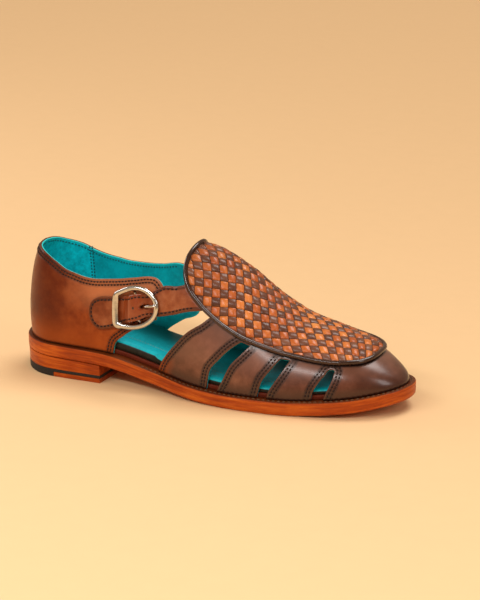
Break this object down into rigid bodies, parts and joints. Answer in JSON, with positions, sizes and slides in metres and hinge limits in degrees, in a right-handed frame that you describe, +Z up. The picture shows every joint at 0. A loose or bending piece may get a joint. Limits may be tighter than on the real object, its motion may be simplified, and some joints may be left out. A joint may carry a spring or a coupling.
{
  "type": "huarache sandal",
  "caption": "Leather huarache sandal for the right foot: woven apron with piping, cut-out sides, buckled side strap, closed heel and a low stacked heel.",
  "frame": {"origin": "middle of the shoe's length and width, on the floor it stands on", "axes": "+X towards the toe, -Y towards the outer (lateral) side, +Z up"},
  "size_m": [0.3, 0.1003, 0.1061],
  "materials": {
    "sole_leather": "burnished, horizontal grain on the edge",
    "rubber": "matt black",
    "insole_leather": "red-brown, smooth",
    "sock_leather": "soft turquoise, matt",
    "upper_leather": "burnished, satin, two rows of dark stitching along the edges",
    "woven_leather": "two-tone strips, glossy",
    "piping_leather": "dark, glossy",
    "strap_leather": "burnished, satin, stitched edges",
    "nickel": "polished nickel"
  },
  "bodies": {
    "root": {"outsole": "sole_leather", "welt_midsole": "sole_leather", "heel_stack": "sole_leather", "heel_rubber": "rubber", "heel_front_lift": "sole_leather", "insole": "insole_leather", "footbed": "sock_leather", "upper": "upper_leather", "woven_apron": "woven_leather", "apron_piping": "piping_leather", "buckle_strap": "strap_leather", "buckle_frame": "nickel", "buckle_prong": "nickel", "buckle_loop": "strap_leather"}
  },
  "joints": []
}
